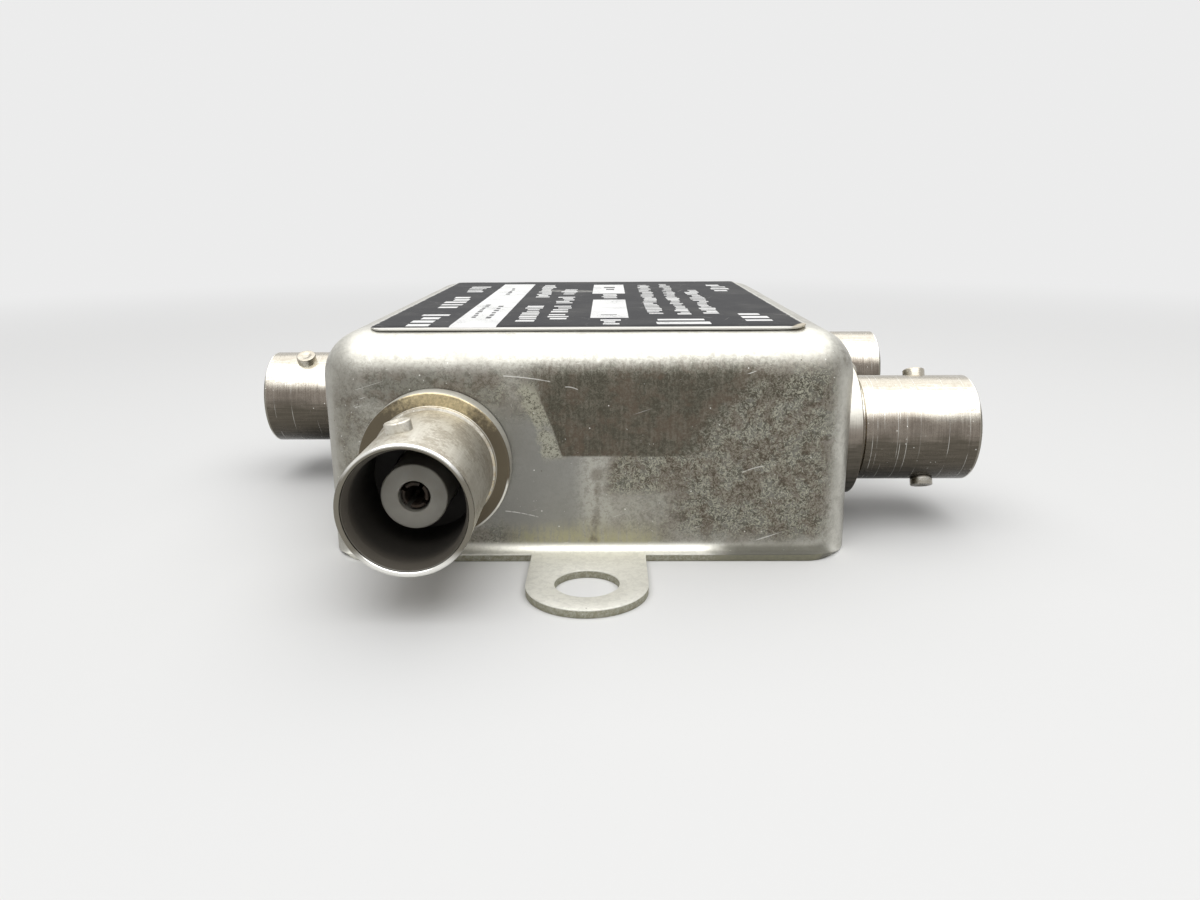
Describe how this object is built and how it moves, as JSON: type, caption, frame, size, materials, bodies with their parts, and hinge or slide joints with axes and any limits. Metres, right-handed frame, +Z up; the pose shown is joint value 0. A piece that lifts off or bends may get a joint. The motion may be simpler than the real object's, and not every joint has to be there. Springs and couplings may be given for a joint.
{
  "type": "antenna coupler",
  "caption": "Small drawn metal box with bayonet coaxial jacks on its four sides, a printed black label on top and a screw tab at each end; it couples radio antennas.",
  "frame": {"origin": "middle of the box, on the plane that its mounting tabs and flared rim rest on", "axes": "+Z up through the label; -Y to the front, where one jack sits left of the middle and one mounting tab reaches out; +X to the side with two jacks"},
  "size_m": [0.069, 0.0774, 0.019],
  "materials": {
    "plated_can": "satin nickel plate with brown patina",
    "plated_cover": "satin nickel plate",
    "plated_jack": "satin nickel plate over brass",
    "black_label": "black print with a slight gloss",
    "white_dielectric": "waxy off-white",
    "gilt_contact": "thin gold plate",
    "zinc_hardware": "zinc plate",
    "board_green": "glass-epoxy board with green lacquer",
    "ferrite_grey": "sintered ferrite",
    "enamelled_copper": "enamelled copper wire",
    "ceramic_tan": "dipped ceramic",
    "trimmer_white": "ceramic",
    "resistor_brown": "moulded resistor body"
  },
  "bodies": {
    "root": {"case": "plated_can", "bottom_cover": "plated_cover", "label": "black_label", "front_jack_shell": "plated_jack", "front_jack_insulator": "white_dielectric", "front_jack_contact": "gilt_contact", "front_jack_washer": "zinc_hardware", "front_jack_nut": "zinc_hardware", "left_jack_shell": "plated_jack", "left_jack_insulator": "white_dielectric", "left_jack_contact": "gilt_contact", "left_jack_washer": "zinc_hardware", "left_jack_nut": "zinc_hardware", "rear_jack_shell": "plated_jack", "rear_jack_insulator": "white_dielectric", "rear_jack_contact": "gilt_contact", "rear_jack_washer": "zinc_hardware", "rear_jack_nut": "zinc_hardware", "right_front_jack_shell": "plated_jack", "right_front_jack_insulator": "white_dielectric", "right_front_jack_contact": "gilt_contact", "right_front_jack_washer": "zinc_hardware", "right_front_jack_nut": "zinc_hardware", "right_rear_jack_shell": "plated_jack", "right_rear_jack_insulator": "white_dielectric", "right_rear_jack_contact": "gilt_contact", "right_rear_jack_washer": "zinc_hardware", "right_rear_jack_nut": "zinc_hardware", "circuit_board": "board_green", "ground_post_1": "zinc_hardware", "ground_post_2": "zinc_hardware", "ground_post_3": "zinc_hardware", "ground_post_4": "zinc_hardware", "post_screw_1": "zinc_hardware", "post_screw_2": "zinc_hardware", "post_screw_3": "zinc_hardware", "post_screw_4": "zinc_hardware", "front_transformer_core": "ferrite_grey", "front_transformer_winding": "enamelled_copper", "front_coil": "enamelled_copper", "front_trimmer": "trimmer_white", "front_resistor": "resistor_brown", "rear_transformer_core": "ferrite_grey", "rear_transformer_winding": "enamelled_copper", "rear_coil": "enamelled_copper", "rear_trimmer": "trimmer_white", "rear_resistor": "resistor_brown", "disc_capacitor_1": "ceramic_tan", "disc_capacitor_2": "ceramic_tan", "disc_capacitor_3": "ceramic_tan"}
  },
  "joints": []
}
